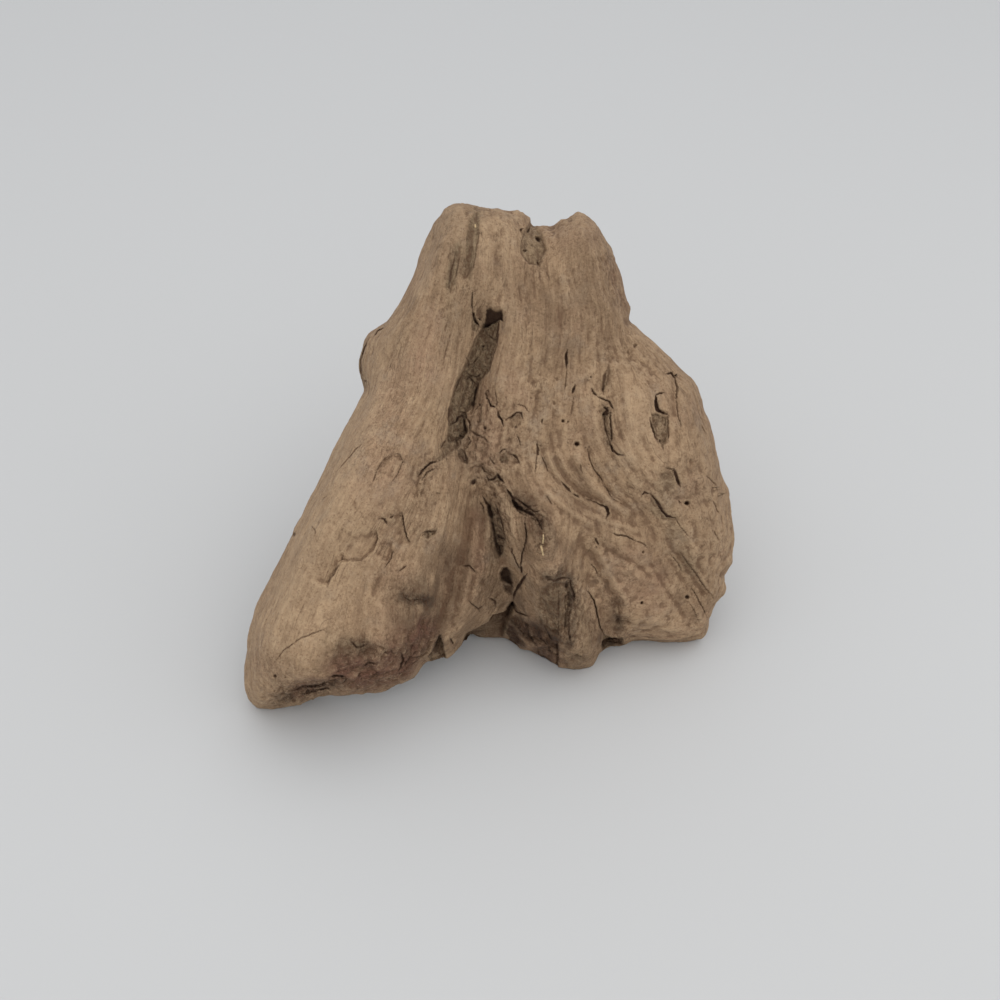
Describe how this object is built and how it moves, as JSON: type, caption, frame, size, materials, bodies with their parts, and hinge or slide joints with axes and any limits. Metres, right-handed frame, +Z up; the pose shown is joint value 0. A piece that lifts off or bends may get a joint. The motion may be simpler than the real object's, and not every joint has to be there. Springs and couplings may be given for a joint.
{
  "type": "driftwood",
  "caption": "Weathered driftwood from a root crown, with a long limb, a broad flat fan, a worn split face and a low hollow, standing free on blunt feet.",
  "frame": {"origin": "centre of the bounding box on the ground, under the worn face", "axes": "+X to the right across the worn face, from the long limb's foot towards the fan; +Y away from the face, towards the back wall; +Z up"},
  "size_m": [0.2408, 0.1842, 0.1991],
  "materials": {
    "wood": "dry, weathered and matte"
  },
  "bodies": {
    "root": {"driftwood": "wood"}
  },
  "joints": []
}
